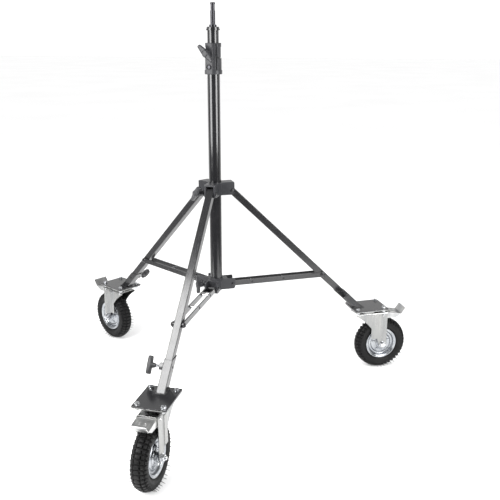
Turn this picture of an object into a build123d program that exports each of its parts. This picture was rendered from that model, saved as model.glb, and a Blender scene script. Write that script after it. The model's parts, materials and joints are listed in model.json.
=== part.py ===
"""Wheeled lighting stand: a telescopic column on three folding legs with pneumatic swivel castors.

Units are millimetres. The origin is on the ground, on the column's axis, and +Z is up.
The front leg points along -Y, the right leg along +30 degrees and the left leg along +150 degrees.
Leg parts are modelled pointing along +X with +Y to the leg's side, then turned to the leg's azimuth.
"""

import os
from math import atan2, cos, degrees, hypot, radians, sin

from build123d import *

os.makedirs("parts", exist_ok=True)

# Layout of the legs
LEG_AZIMUTHS = {"front": -90.0, "right": 30.0, "left": 150.0}
CASTER_HEADINGS = {"front": -2.0, "right": -3.0, "left": 1.0}

# Column
TUBE_R, TUBE_BORE_R = 21.2, 19.4
TUBE_BOTTOM, TUBE_TOP = 388.0, 1184.0
PLUG_THICK, PLUG_LENGTH = 3.0, 22.0
RISER_R, RISER_BORE_R = 19.0, 17.2
RISER_BOTTOM, RISER_TOP = 448.0, 1271.0
BUSH_LENGTH, BUSH_NECK = 10.0, 24.0

# Stud and its cap
CAP_FLANGE_R, CAP_R, CAP_FLANGE_TOP, CAP_TOP = 23.0, 21.0, 1276.0, 1282.0
STUD_R, STUD_NECK_R = 7.95, 6.75
CAP_SPIGOT, STUD_SCREW_R, STUD_SHOULDER_R = 26.0, 6.0, 12.3
STUD_SHOULDER_TOP, STUD_NECK_LOW, STUD_NECK_HIGH, STUD_TOP = 1288.5, 1332.0, 1351.0, 1357.0

# Riser clamp
CLAMP_BOTTOM, CLAMP_SPLIT, CLAMP_TOP = 1133.0, 1185.0, 1232.0
CLAMP_UPPER_R, CLAMP_LOWER_R = 25.0, 27.0
CLAMP_AZIMUTH, CLAMP_BOSS_REACH, CLAMP_BOSS_WIDTH = -102.0, 30.0, 26.0
CLAMP_HANDLE_Z, CLAMP_BOLT_Z = 1199.0, 1156.0
CLAMP_BEAD, CLAMP_RIB_WIDTH, CLAMP_RIB_TURNS = 13.0, 8.0, (34, 66, 180)
CLAMP_GROOVE_TURN, CLAMP_GROOVE_WIDTH, CLAMP_NOTCH = 50.0, 3.2, 3.0
HANDLE_SCREW_R, HANDLE_HUB_R, WING_THICK = 5.0, 9.0, 14.0

# Collars
COLLAR_R, COLLAR_REACH, LIP_R = 27.0, 64.0, 24.5
UPPER_BOTTOM, UPPER_TOP = 728.0, 773.0
LOWER_BOTTOM, LOWER_TOP = 385.0, 424.0
HOOD_THICK, FLOOR_THICK, POCKET_DEPTH = 6.0, 5.0, 2.5
SLIDE_GAP, COLLAR_BOSS_R, COLLAR_BOSS_END, SLOT_START = 0.3, 11.0, 47.0, 38.0
PIVOT_HEX, PIVOT_HEAD, PIVOT_NUT, POCKET_R = 11.0, 3.5, 4.5, 7.0
UPPER_HANDLE_AZIMUTH, LOWER_HANDLE_AZIMUTH = 224.0, 210.0
UPPER_HANDLE_Z, LOWER_HANDLE_Z = 739.0, 404.0

# Legs and braces
PIVOT_R, PIVOT_Z = 56.0, 742.0
LEG_ANGLE = 44.45
LEG_SIZE, LEG_WALL, LEG_LENGTH, LEG_HEEL = 24.0, 2.0, 675.0, 11.0
BRACE_PIN_ALONG = 482.0
BRACE_PIVOT_Z = 403.0
BAR_INNER, BAR_OUTER, BAR_HEIGHT = 13.0, 17.5, 17.0
BOLT_R, FIT_GAP, BUSH_WALL = 4.0, 0.08, 2.5
BRACE_HEX, BRACE_FLANGE_R, RIVET_ALONG = 13.0, 10.0, (72, 191)
UPPER_CHEEK_INNER, UPPER_CHEEK_OUTER = 12.7, 19.7
LOWER_CHEEK_INNER, LOWER_CHEEK_OUTER = 18.1, 22.0

# Caster bracket
PLATE_CENTRE_R, PLATE_LENGTH, PLATE_WIDTH, PLATE_TOP, PLATE_THICK = 592.0, 135.0, 108.0, 256.4, 4.0
SLEEVE_SIZE, SLEEVE_BORE, SLEEVE_TOP = 28.0, 24.8, 330.0
KNOB_ALONG, KNOB_HALF_LENGTH, KNOB_OUTER, KNOB_INNER = 619.0, 28.0, 66.0, 52.0
KNOB_END_HALF, KNOB_MIDDLE_HALF, KNOB_NECK_R = 7.5, 12.0, 8.0
KNOB_TURNS = {"front": 11.0, "right": 0.0, "left": -5.0}
SLEEVE_BOSS_HEX, SLEEVE_BOSS_END = 21.0, 27.0
BOLT_SPACING, PLATE_HEX = (106.0, 79.0), 14.0

# Caster
CASTER_PLATE_TOP, CASTER_PLATE_THICK = 252.4, 3.0
TRAIL, WHEEL_R, WHEEL_WIDTH, RIM_R = 60.0, 102.0, 52.0, 60.0
CROWN_TOP, SHEET = 236.0, 3.0
FORK_HALF_WIDTH, FORK_BACK, FORK_FRONT = 34.0, -50.0, 75.0
FORK_TOE_R, FORK_RIB = 15.0, (12, 17, 37, 42)
AXLE_R, AXLE_HEX, KINGPIN_R, KINGPIN_HEX = 6.0, 19.0, 6.0, 18.0
RACE_R, RACE_BORE_R, CUP_R, CUP_BORE_R = 37.0, 9.0, 30.0, 20.0
PEDAL_HALF_WIDTH, PEDAL_SHEET, PEDAL_PIN_R = 30.0, 2.5, 3.0
HUB_R, HUB_HALF, HUB_NOSE_R, HUB_NOSE_HALF = 20.5, 18.0, 14.0, 26.5

# Half sections of the rim's dish, as radius and distance from the wheel's middle plane
RIM_OUTSIDE = [
    (RIM_R, 17.5), (RIM_R + 1.2, 19.5), (RIM_R - 0.3, 21.2), (RIM_R - 3, 20.4), (52, 18.5),
    (49.5, 12), (46, 9.5), (40, 10.5), (30, 15), (HUB_R, 17),
]
RIM_INSIDE = [
    (HUB_R, 14.4), (29, 12.4), (39, 8), (45, 6.8), (50, 6.8), (52.4, 10), (54.5, 15.5), (56.5, 17.3),
]
PEDAL_PIVOT = (58.0, 222.0)

LEG_PLANE = Plane(
    origin=(PIVOT_R, 0, PIVOT_Z),
    x_dir=(cos(radians(LEG_ANGLE)), 0, -sin(radians(LEG_ANGLE))),
    z_dir=(sin(radians(LEG_ANGLE)), 0, cos(radians(LEG_ANGLE))),
)
BRACE_PIN_R = PIVOT_R + BRACE_PIN_ALONG * cos(radians(LEG_ANGLE))
BRACE_PIN_Z = PIVOT_Z - BRACE_PIN_ALONG * sin(radians(LEG_ANGLE))
BRACE_LENGTH = hypot(BRACE_PIN_R - PIVOT_R, BRACE_PIN_Z - BRACE_PIVOT_Z)
BRACE_ANGLE = degrees(atan2(BRACE_PIN_Z - BRACE_PIVOT_Z, BRACE_PIN_R - PIVOT_R))

written = {}


def save(name, *solids):
    """Write one node as a STEP file holding its separate solids."""
    shape = solids[0] if len(solids) == 1 else Compound(children=list(solids))
    shape.label = name
    export_step(shape, f"parts/{name}.step")
    written[name] = len(solids)


def post(radius, low, high):
    """Vertical cylinder on the Z axis between two heights."""
    return Pos(0, 0, (low + high) / 2) * Cylinder(radius, high - low)


def pipe(outer, inner, low, high):
    return post(outer, low, high) - post(inner, low - 1, high + 1)


def cross_pin(radius, low, high, x=0.0, z=0.0):
    """Cylinder along Y between two Y positions."""
    return Pos(x, (low + high) / 2, z) * Rot(90, 0, 0) * Cylinder(radius, high - low)


def cross_hex(across_flats, low, high, x=0.0, z=0.0):
    """Hexagonal prism along Y, chamfered like a bolt head."""
    hexagon = RegularPolygon(across_flats / 2, 6, major_radius=False)
    prism = extrude(hexagon, (high - low) / 2, both=True)
    prism = prism & Cylinder(across_flats * 0.56, high - low)
    return Pos(x, (low + high) / 2, z) * Rot(90, 0, 0) * prism


def block(x_range, y_range, z_range, edge=0.0, axis=Axis.Z):
    """Box between two corners, with the edges along one axis rounded."""
    (x0, x1), (y0, y1), (z0, z1) = x_range, y_range, z_range
    box = Pos((x0 + x1) / 2, (y0 + y1) / 2, (z0 + z1) / 2) * Box(x1 - x0, y1 - y0, z1 - z0)
    return fillet(box.edges().filter_by(axis), edge) if edge else box


def side_profile(outline, low, high):
    """Face drawn in X and Z, extruded along Y between two Y positions."""
    face = Plane.XZ * make_face(outline)
    return Pos(0, (low + high) / 2, 0) * extrude(face, (high - low) / 2, both=True)


def at_leg(shape, leg):
    return Rot(0, 0, LEG_AZIMUTHS[leg]) * shape


def at_caster(shape, leg):
    """Place a caster part, drawn about its swivel axis, under the leg's plate."""
    turned = Rot(0, 0, CASTER_HEADINGS[leg]) * shape
    return at_leg(Pos(PLATE_CENTRE_R, 0, 0) * turned, leg)


def through_bolt(half_grip, x=0.0, z=0.0, radius=BOLT_R, flats=13.0, head=5.3, nut=7.0, tip=2.5):
    """Hex bolt across Y: head on the +Y side, nut and thread tip on the -Y side."""
    shank = cross_pin(radius, -half_grip - nut - tip, half_grip + 1, x, z)
    washers = cross_pin(radius * 2.1, half_grip, half_grip + 1.2, x, z)
    washers += cross_pin(radius * 2.1, -half_grip - 1.2, -half_grip, x, z)
    ends = cross_hex(flats, half_grip + 1.2, half_grip + 1.2 + head, x, z)
    ends += cross_hex(flats, -half_grip - 1.2 - nut, -half_grip - 1.2, x, z)
    return shank + washers + ends


def pivot_bolt(half_grip, x, z):
    """Low bolt and nut without washers, for the clevises."""
    bolt = cross_pin(BOLT_R, -half_grip - PIVOT_NUT - 1, half_grip + 1, x, z)
    bolt += cross_hex(PIVOT_HEX, half_grip, half_grip + PIVOT_HEAD, x, z)
    return bolt + cross_hex(PIVOT_HEX, -half_grip - PIVOT_NUT, -half_grip, x, z)


def clevis_block(half_width, low, high):
    """Clevis blank along +X, its outer end rounded above and below."""
    blank = block((10, COLLAR_REACH), (-half_width, half_width), (low, high))
    ends = blank.edges().filter_by(Axis.Y).group_by(Axis.X)[-1].sort_by(Axis.Z)
    blank = fillet(ends[0], 8.0)
    top = blank.edges().filter_by(Axis.Y).group_by(Axis.Z)[-1].sort_by(Axis.X)[-1]
    return fillet(top, 4.0)


def tee_handle(screw_tip, hub_start, wing_start, wing_end, half_length, wing_turn):
    """Wing handle on a screw along +X; the wing is a leaf-shaped bar turned about X."""
    screw_length, hub_length = hub_start - screw_tip, wing_end - hub_start
    screw = Rot(0, 90, 0) * Cylinder(HANDLE_SCREW_R, screw_length)
    screw = Pos(screw_tip + screw_length / 2, 0, 0) * screw
    hub = Pos(hub_start + hub_length / 2, 0, 0) * Rot(0, 90, 0) * Cylinder(HANDLE_HUB_R, hub_length)
    tip, waist, shoulder = 5.0, 10.5, half_length * 0.3
    right_edge = [(tip, half_length), (waist, shoulder), (waist, -shoulder), (tip, -half_length)]
    left_edge = [(-y, z) for y, z in reversed(right_edge)]
    leaf = make_face(Polyline(*right_edge, *left_edge, close=True))
    wing = extrude(Plane.YZ.offset(wing_start) * leaf, wing_end - wing_start)
    wing = fillet(wing.edges().filter_by(Axis.X), 2.5)
    return Rot(wing_turn, 0, 0) * (screw + hub + wing)


# ---------------------------------------------------------------- column

def outer_tube():
    return pipe(TUBE_R, TUBE_BORE_R, TUBE_BOTTOM, TUBE_TOP)


def tube_foot_plug():
    lid = post(TUBE_R, TUBE_BOTTOM - PLUG_THICK, TUBE_BOTTOM)
    return lid + post(TUBE_BORE_R, TUBE_BOTTOM, TUBE_BOTTOM + PLUG_LENGTH)


def riser_tube():
    return pipe(RISER_R, RISER_BORE_R, RISER_BOTTOM, RISER_TOP)


def riser_bush():
    """Plastic guide on the riser's lower end, a running fit in the outer tube."""
    guide = post(TUBE_BORE_R - FIT_GAP, RISER_BOTTOM - BUSH_LENGTH, RISER_BOTTOM)
    return guide + post(RISER_BORE_R, RISER_BOTTOM, RISER_BOTTOM + BUSH_NECK)


def riser_cap():
    cap = post(CAP_FLANGE_R, RISER_TOP, CAP_FLANGE_TOP)
    cap += chamfer(post(CAP_R, CAP_FLANGE_TOP, CAP_TOP).edges().group_by(Axis.Z)[-1], 1.0)
    cap += post(RISER_BORE_R, RISER_TOP - CAP_SPIGOT, RISER_TOP)
    return cap - post(STUD_SCREW_R, RISER_TOP - CAP_SPIGOT - 1, CAP_TOP + 1)


def stud():
    """Stepped spigot with a waist and a head, screwed into the cap."""
    body = post(STUD_SHOULDER_R, CAP_TOP, STUD_SHOULDER_TOP)
    body += post(STUD_SCREW_R, RISER_TOP - CAP_SPIGOT + 6, CAP_TOP)
    body += post(STUD_R, STUD_SHOULDER_TOP, STUD_NECK_LOW)
    body += post(STUD_NECK_R, STUD_NECK_LOW, STUD_NECK_HIGH)
    head = post(STUD_R, STUD_NECK_HIGH, STUD_TOP)
    return body + chamfer(head.edges().group_by(Axis.Z)[-1], 1.2)


def clamp_body():
    """Cast clamp: the lower half grips the outer tube, the upper half guides and locks the riser."""
    lower = post(CLAMP_LOWER_R, CLAMP_BOTTOM, CLAMP_SPLIT)
    lower += post(CLAMP_LOWER_R + 2, CLAMP_BOTTOM, CLAMP_BOTTOM + CLAMP_BEAD)
    upper = post(CLAMP_UPPER_R, CLAMP_SPLIT, CLAMP_TOP)
    upper += post(CLAMP_UPPER_R + 1.5, CLAMP_TOP - CLAMP_BEAD, CLAMP_TOP)
    boss_width = (-CLAMP_BOSS_WIDTH / 2, CLAMP_BOSS_WIDTH / 2)
    boss = block((0, CLAMP_BOSS_REACH), boss_width, (CLAMP_BOTTOM + 1, CLAMP_TOP - 1), 3)
    body = lower + upper + boss
    half_rib, half_groove, half_notch = CLAMP_RIB_WIDTH / 2, CLAMP_GROOVE_WIDTH / 2, CLAMP_NOTCH / 2
    for turn in CLAMP_RIB_TURNS:
        rib_height = (CLAMP_BOTTOM + 2, CLAMP_TOP - 2)
        rib = block((0, CLAMP_LOWER_R + 1.2), (-half_rib, half_rib), rib_height, 1.5)
        body += Rot(0, 0, turn) * rib
    groove_height = (CLAMP_BOTTOM + CLAMP_BEAD + 1, CLAMP_TOP + 1)
    groove = block((CLAMP_UPPER_R - 3.5, 40), (-half_groove, half_groove), groove_height)
    notch = pipe(40, CLAMP_UPPER_R - 1.5, CLAMP_SPLIT - half_notch, CLAMP_SPLIT + half_notch)
    notch -= block((0, 50), (-16, 16), (CLAMP_SPLIT - CLAMP_NOTCH, CLAMP_SPLIT + CLAMP_NOTCH))
    body = body - Rot(0, 0, CLAMP_GROOVE_TURN) * groove - notch
    body -= post(TUBE_R, CLAMP_BOTTOM - 1, TUBE_TOP)
    body -= post(RISER_R + 0.4, TUBE_TOP - 1, CLAMP_TOP + 1)
    handle_hole = Pos(30, 0, CLAMP_HANDLE_Z) * Rot(0, 90, 0) * Cylinder(HANDLE_SCREW_R + FIT_GAP, 40)
    bolt_seat = Pos(CLAMP_BOSS_REACH, 0, CLAMP_BOLT_Z) * Rot(0, 90, 0) * Cylinder(9, 5)
    bolt_hole = Pos(25, 0, CLAMP_BOLT_Z) * Rot(0, 90, 0) * Cylinder(BOLT_R, 9)
    return Rot(0, 0, CLAMP_AZIMUTH) * (body - handle_hole - bolt_seat - bolt_hole)


def clamp_bolt():
    """Domed screw in the boss that fixes the clamp to the outer tube."""
    dome = Pos(CLAMP_BOSS_REACH - 0.75, 0, 0) * Rot(0, 90, 0) * Cylinder(7, 3.5)
    dome = fillet(dome.edges().group_by(Axis.X)[-1], 2.8)
    shank = Pos(24.6, 0, 0) * Rot(0, 90, 0) * Cylinder(BOLT_R, 6)
    return Rot(0, 0, CLAMP_AZIMUTH) * Pos(0, 0, CLAMP_BOLT_Z) * (dome + shank)


def clamp_handle():
    handle = tee_handle(RISER_R + 0.6, CLAMP_BOSS_REACH + 1, 46, 55, 38, 45)
    return Rot(0, 0, CLAMP_AZIMUTH) * Pos(0, 0, CLAMP_HANDLE_Z) * handle


# ---------------------------------------------------------------- collars

def collar_body(low, high, lip, handle_z, azimuth):
    """Ring round the column, its raised lip and the screw boss of its locking handle."""
    ring = post(COLLAR_R, low, high) + post(LIP_R, high, lip)
    boss_length = COLLAR_BOSS_END - TUBE_R
    boss = Rot(0, 90, 0) * Cylinder(COLLAR_BOSS_R, boss_length)
    boss = Pos(TUBE_R + boss_length / 2, 0, handle_z) * boss
    screw_hole = Pos(36, 0, handle_z) * Rot(0, 90, 0) * Cylinder(HANDLE_SCREW_R + FIT_GAP, 40)
    return ring + Rot(0, 0, azimuth) * boss, Rot(0, 0, azimuth) * screw_hole


def upper_collar():
    """Sliding collar whose three hooded clevises carry the legs."""
    body, screw_hole = collar_body(
        UPPER_BOTTOM, UPPER_TOP - 5, UPPER_TOP - 2, UPPER_HANDLE_Z, UPPER_HANDLE_AZIMUTH
    )
    for leg in LEG_AZIMUTHS:
        body += at_leg(clevis_block(UPPER_CHEEK_OUTER, UPPER_BOTTOM, UPPER_TOP), leg)
    for leg in LEG_AZIMUTHS:
        slot_width = (-UPPER_CHEEK_INNER, UPPER_CHEEK_INNER)
        slot = block((SLOT_START, COLLAR_REACH + 5), slot_width, (UPPER_BOTTOM - 5, UPPER_TOP - HOOD_THICK))
        hole = cross_pin(BOLT_R, -30, 30, PIVOT_R, PIVOT_Z)
        for side in (-1, 1):
            pocket = sorted((side * (UPPER_CHEEK_OUTER - POCKET_DEPTH), side * 30))
            hole += cross_pin(POCKET_R, *pocket, PIVOT_R, PIVOT_Z)
        body -= at_leg(slot + hole, leg)
    return body - post(TUBE_R + SLIDE_GAP, UPPER_BOTTOM - 5, UPPER_TOP + 5) - screw_hole


def lower_collar():
    """Fixed collar whose three open clevises carry the brace bars."""
    body, screw_hole = collar_body(
        LOWER_BOTTOM, LOWER_TOP, LOWER_TOP + 4, LOWER_HANDLE_Z, LOWER_HANDLE_AZIMUTH
    )
    for leg in LEG_AZIMUTHS:
        body += at_leg(clevis_block(LOWER_CHEEK_OUTER, LOWER_BOTTOM, LOWER_TOP), leg)
    for leg in LEG_AZIMUTHS:
        slot_width = (-LOWER_CHEEK_INNER, LOWER_CHEEK_INNER)
        slot_height = (LOWER_BOTTOM + FLOOR_THICK, LOWER_TOP + 5)
        slot = block((SLOT_START, COLLAR_REACH + 5), slot_width, slot_height)
        hole = cross_pin(BOLT_R, -30, 30, PIVOT_R, BRACE_PIVOT_Z)
        body -= at_leg(slot + hole, leg)
    return body - post(TUBE_R, LOWER_BOTTOM - 5, LOWER_TOP + 5) - screw_hole


def collar_handle(height, azimuth, wing_start, half_length, wing_turn):
    """Locking handle of a collar: its screw points at the column from one azimuth."""
    screw_tip, hub_start, wing_end = TUBE_R + 0.6, COLLAR_BOSS_END + 1, wing_start + WING_THICK
    handle = tee_handle(screw_tip, hub_start, wing_start, wing_end, half_length, wing_turn)
    return Rot(0, 0, azimuth) * Pos(0, 0, height) * handle


# ---------------------------------------------------------------- legs and braces

def leg_tube():
    """Square tube with bushes welded across it at the pivot and at the brace pin."""
    half, bore_half = LEG_SIZE / 2, LEG_SIZE / 2 - LEG_WALL
    tube = block((-LEG_HEEL, LEG_LENGTH), (-half, half), (-half, half), 2.0, Axis.X)
    tube -= block((-LEG_HEEL - 1, LEG_LENGTH + 1), (-bore_half, bore_half), (-bore_half, bore_half))
    for along in (0, BRACE_PIN_ALONG):
        tube += cross_pin(BOLT_R + BUSH_WALL, -half, half, along)
        tube -= cross_pin(BOLT_R + FIT_GAP, -half - 1, half + 1, along)
    return LEG_PLANE * tube


def on_brace(shape):
    """Place a brace part, drawn along +X from the lower pivot, at its rest angle."""
    return Pos(PIVOT_R, 0, BRACE_PIVOT_Z) * Rot(0, -BRACE_ANGLE, 0) * shape


def brace_bars():
    """Two flat bars, one each side of the leg."""
    bars = []
    for side in (-1, 1):
        low, high = sorted((side * BAR_INNER, side * BAR_OUTER))
        bar = block((0, BRACE_LENGTH), (low, high), (-BAR_HEIGHT / 2, BAR_HEIGHT / 2))
        for along in (0, BRACE_LENGTH):
            bar += cross_pin(BAR_HEIGHT / 2, low, high, along)
        bar -= cross_pin(BOLT_R + FIT_GAP, low - 1, high + 1)
        bar -= cross_pin(BOLT_R, low - 1, high + 1, BRACE_LENGTH)
        bars.append(on_brace(bar))
    return bars


def brace_fasteners():
    """Outer pivot bolts, split at the leg's faces, and two riveted spacers between the bars."""
    pieces = []
    for side in (-1, 1):
        shank = sorted((side * BAR_INNER, side * (BAR_OUTER + 1)))
        washer = sorted((side * BAR_OUTER, side * (BAR_OUTER + 1.2)))
        head = sorted((side * (BAR_OUTER + 1.2), side * (BAR_OUTER + 6.2)))
        bolt = cross_pin(BOLT_R, *shank, BRACE_LENGTH)
        bolt += cross_pin(BRACE_FLANGE_R, *washer, BRACE_LENGTH)
        pieces.append(on_brace(bolt + cross_hex(BRACE_HEX, *head, BRACE_LENGTH)))
    for along in RIVET_ALONG:
        pieces.append(on_brace(cross_pin(BOLT_R, -BAR_INNER, BAR_INNER, along)))
    return pieces


# ---------------------------------------------------------------- caster bracket

def plate_corners():
    return [(x * BOLT_SPACING[0] / 2, y * BOLT_SPACING[1] / 2) for x in (-1, 1) for y in (-1, 1)]


def caster_bracket():
    """Square sleeve over the leg's end, cut level and welded on the mounting plate, with a screw boss."""
    half, bore_half = SLEEVE_SIZE / 2, SLEEVE_BORE / 2
    sleeve = LEG_PLANE * block((540, 740), (-half, half), (-half, half), 2.5, Axis.X)
    bore = LEG_PLANE * block((530, 750), (-bore_half, bore_half), (-bore_half, bore_half))
    boss = LEG_PLANE * cross_hex(SLEEVE_BOSS_HEX, -SLEEVE_BOSS_END, -half + 1, KNOB_ALONG)
    screw_hole = LEG_PLANE * cross_pin(BOLT_R + FIT_GAP, -SLEEVE_BOSS_END - 3, 0, KNOB_ALONG)
    sight_hole = LEG_PLANE * cross_pin(BOLT_R, 0, 30, KNOB_ALONG)
    keep = block((400, 700), (-60, 60), (PLATE_TOP - 1, SLEEVE_TOP))
    post_part = (sleeve & keep) - bore + (boss - bore)
    x_range = (PLATE_CENTRE_R - PLATE_LENGTH / 2, PLATE_CENTRE_R + PLATE_LENGTH / 2)
    y_range = (-PLATE_WIDTH / 2, PLATE_WIDTH / 2)
    plate = block(x_range, y_range, (PLATE_TOP - PLATE_THICK, PLATE_TOP), 3)
    for x, y in plate_corners():
        plate -= Pos(PLATE_CENTRE_R + x, y, 0) * post(BOLT_R + 0.3, 200, 300)
    return post_part + plate - screw_hole - sight_hole


def sleeve_knob(leg):
    """Wing knob: a barrel-shaped bar across a hub, on a screw along Y."""
    end, middle = KNOB_END_HALF, KNOB_MIDDLE_HALF
    rim = Polyline((KNOB_HALF_LENGTH, -end), (KNOB_HALF_LENGTH, end))
    rim += ThreePointArc((KNOB_HALF_LENGTH, end), (0, middle), (-KNOB_HALF_LENGTH, end))
    rim += Polyline((-KNOB_HALF_LENGTH, end), (-KNOB_HALF_LENGTH, -end))
    rim += ThreePointArc((-KNOB_HALF_LENGTH, -end), (0, -middle), (KNOB_HALF_LENGTH, -end))
    bar = side_profile(rim, -KNOB_OUTER, -KNOB_INNER)
    bar = fillet(bar.edges().filter_by(Axis.Y), 2.5)
    neck = cross_pin(KNOB_NECK_R, -KNOB_INNER, 9 - KNOB_INNER)
    neck += cross_pin(KNOB_NECK_R - 2, 9 - KNOB_INNER, 13 - KNOB_INNER)
    screw = cross_pin(BOLT_R, 11 - KNOB_INNER, -LEG_SIZE / 2 - 0.6)
    return LEG_PLANE * Pos(KNOB_ALONG, 0, 0) * Rot(0, KNOB_TURNS[leg], 0) * (bar + neck + screw)


def plate_bolts():
    """Four bolts through the bracket's plate and the caster's plate, each with washer and nut."""
    bolts = []
    low = CASTER_PLATE_TOP - CASTER_PLATE_THICK
    for x, y in plate_corners():
        bolt = through_bolt((PLATE_TOP - low) / 2, flats=PLATE_HEX, head=6.3, nut=6.5)
        bolt = Pos(0, 0, (PLATE_TOP + low) / 2) * Rot(90, 0, 0) * bolt
        bolts.append(Pos(PLATE_CENTRE_R + x, y, 0) * bolt)
    return bolts


# ---------------------------------------------------------------- caster

def caster_plate():
    """Pressed top plate with its upper race cup and the kingpin."""
    x_range, y_range = (-PLATE_LENGTH / 2, PLATE_LENGTH / 2), (-PLATE_WIDTH / 2, PLATE_WIDTH / 2)
    bottom = CASTER_PLATE_TOP - CASTER_PLATE_THICK
    plate = block(x_range, y_range, (bottom, CASTER_PLATE_TOP), 6)
    for x, y in plate_corners():
        plate -= Pos(x, y, 0) * post(BOLT_R + 0.3, 200, 300)
    cup = pipe(CUP_R, CUP_BORE_R, CROWN_TOP + 4, bottom) + post(CUP_R, CROWN_TOP + 10, bottom)
    kingpin = post(KINGPIN_R, CROWN_TOP - SHEET - 8, bottom)
    nut = extrude(RegularPolygon(KINGPIN_HEX / 2, 6, major_radius=False), 6.5)
    return plate + cup + kingpin + Pos(0, 0, CROWN_TOP - SHEET - 7) * nut


def swivel_race():
    """Lower race and dust ring, fixed on the fork's crown."""
    seat = pipe(RACE_R, RACE_BORE_R, CROWN_TOP, CROWN_TOP + 2.5)
    return seat + pipe(RACE_R, RACE_R - SHEET, CROWN_TOP, CROWN_TOP + 8)


def fork():
    """One pressed sheet: a crown and two legs that narrow to the axle, each with a raised rib."""
    outer = block((FORK_BACK, FORK_FRONT), (-FORK_HALF_WIDTH, FORK_HALF_WIDTH), (80, CROWN_TOP))
    outer = fillet(outer.edges().filter_by(Axis.X).group_by(Axis.Z)[-1], 8)
    inner_half = FORK_HALF_WIDTH - SHEET
    inner = block((FORK_BACK - 5, FORK_FRONT + 5), (-inner_half, inner_half), (70, CROWN_TOP - SHEET))
    inner = fillet(inner.edges().filter_by(Axis.X).group_by(Axis.Z)[-1], 5)
    heel_low, toe_back = (FORK_BACK, CROWN_TOP - 10), (TRAIL - FORK_TOE_R, WHEEL_R)
    toe_front, toe_low = (FORK_FRONT, WHEEL_R), (TRAIL, WHEEL_R - FORK_TOE_R)
    outline = Polyline(heel_low, (FORK_BACK, CROWN_TOP), (FORK_FRONT, CROWN_TOP), toe_front)
    outline += ThreePointArc(toe_front, toe_low, toe_back)
    outline += ThreePointArc(toe_back, (6, 178), heel_low)
    body = (outer - inner) & side_profile(outline, -40, 40)
    for side in (-1, 1):
        inside, outside = side * (FORK_HALF_WIDTH - 1), side * (FORK_HALF_WIDTH + 2.2)
        levels = (inside, outside, outside, inside)
        rib = make_face(Polyline(*zip(FORK_RIB, levels), close=True))
        body += Pos(0, 0, 128) * extrude(rib, 96)
    body -= cross_pin(AXLE_R, -50, 50, TRAIL, WHEEL_R)
    body -= cross_pin(PEDAL_PIN_R + FIT_GAP, -50, 50, *PEDAL_PIVOT)
    return body - post(KINGPIN_R + FIT_GAP, 220, 240)


def axle_bolt():
    """Axle through the fork with its spacers, its nut and thread end on the +Y side."""
    bolt = through_bolt(FORK_HALF_WIDTH, radius=AXLE_R, flats=AXLE_HEX, head=7.5, nut=9, tip=6)
    bolt = Pos(TRAIL, 0, WHEEL_R) * Rot(0, 0, 180) * bolt
    for side in (-1, 1):
        spacer = sorted((side * (HUB_NOSE_HALF + 1), side * (FORK_HALF_WIDTH - SHEET)))
        bolt += cross_pin(10, *spacer, TRAIL, WHEEL_R)
    return bolt


def brake_pedal():
    """Channel-shaped pedal with a turned-up lip, a shoe above the tyre and its hinge pin."""
    half, web_half = PEDAL_HALF_WIDTH, PEDAL_HALF_WIDTH - PEDAL_SHEET
    tread = Polyline(
        (77, 232), (132, 224), (148, 246), (150.2, 244.6), (133.2, 221.2), (77, 229.2), close=True
    )
    flange = Polyline(
        (50, 216), (50, 228), (76, 229), (77, 230.5), (132, 222.5), (110, 209), (62, 208.5), close=True
    )
    pedal = side_profile(tread, -half, half)
    pedal += side_profile(flange, -half, -web_half) + side_profile(flange, web_half, half)
    shoe = block((80, 100), (-14, 14), (210, 230))
    return pedal + shoe + cross_pin(PEDAL_PIN_R, -half - 6, half + 6, *PEDAL_PIVOT)


def wheel_rim():
    """Two pressed dishes: rolled flanges, bead seats and a disc that steps down to the hub."""
    rim = None
    for side in (-1, 1):
        points = [(rho, side * y) for rho, y in RIM_OUTSIDE + RIM_INSIDE]
        dish = revolve(make_face(Polyline(*points, close=True)), Axis.Y)
        rim = dish if rim is None else rim + dish
    rim += Rot(90, 0, 0) * (Cylinder(52.2, 14) - Cylinder(49.6, 20))
    return Pos(TRAIL, 0, WHEEL_R) * rim


def wheel_hub():
    hub = cross_pin(HUB_R, -HUB_HALF, HUB_HALF)
    hub += cross_pin(HUB_NOSE_R, -HUB_NOSE_HALF, HUB_NOSE_HALF)
    return Pos(TRAIL, 0, WHEEL_R) * (hub - cross_pin(AXLE_R + FIT_GAP, -40, 40))


def tyre():
    """Pneumatic tyre carcass, open towards the rim."""
    half = WHEEL_WIDTH / 2
    outline = Polyline((57.2, 16.6), (61.9, 16.9), (64, 20.0))
    outline += ThreePointArc((64, 20.0), (76, half), (92, 22.5))
    outline += ThreePointArc((92, 22.5), (WHEEL_R, 0), (92, -22.5))
    outline += ThreePointArc((92, -22.5), (76, -half), (64, -20.0))
    outline += Polyline((64, -20.0), (61.9, -16.9), (57.2, -16.6), (57.2, -11), (61, -11))
    outline += ThreePointArc((61, -11), (76, -20), (88, -17))
    outline += ThreePointArc((88, -17), (95, 0), (88, 17))
    outline += ThreePointArc((88, 17), (76, 20), (61, 11))
    outline += Polyline((61, 11), (57.2, 11), (57.2, 16.6))
    return Pos(TRAIL, 0, WHEEL_R) * revolve(make_face(outline), Axis.Y)


# ---------------------------------------------------------------- write every node

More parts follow.
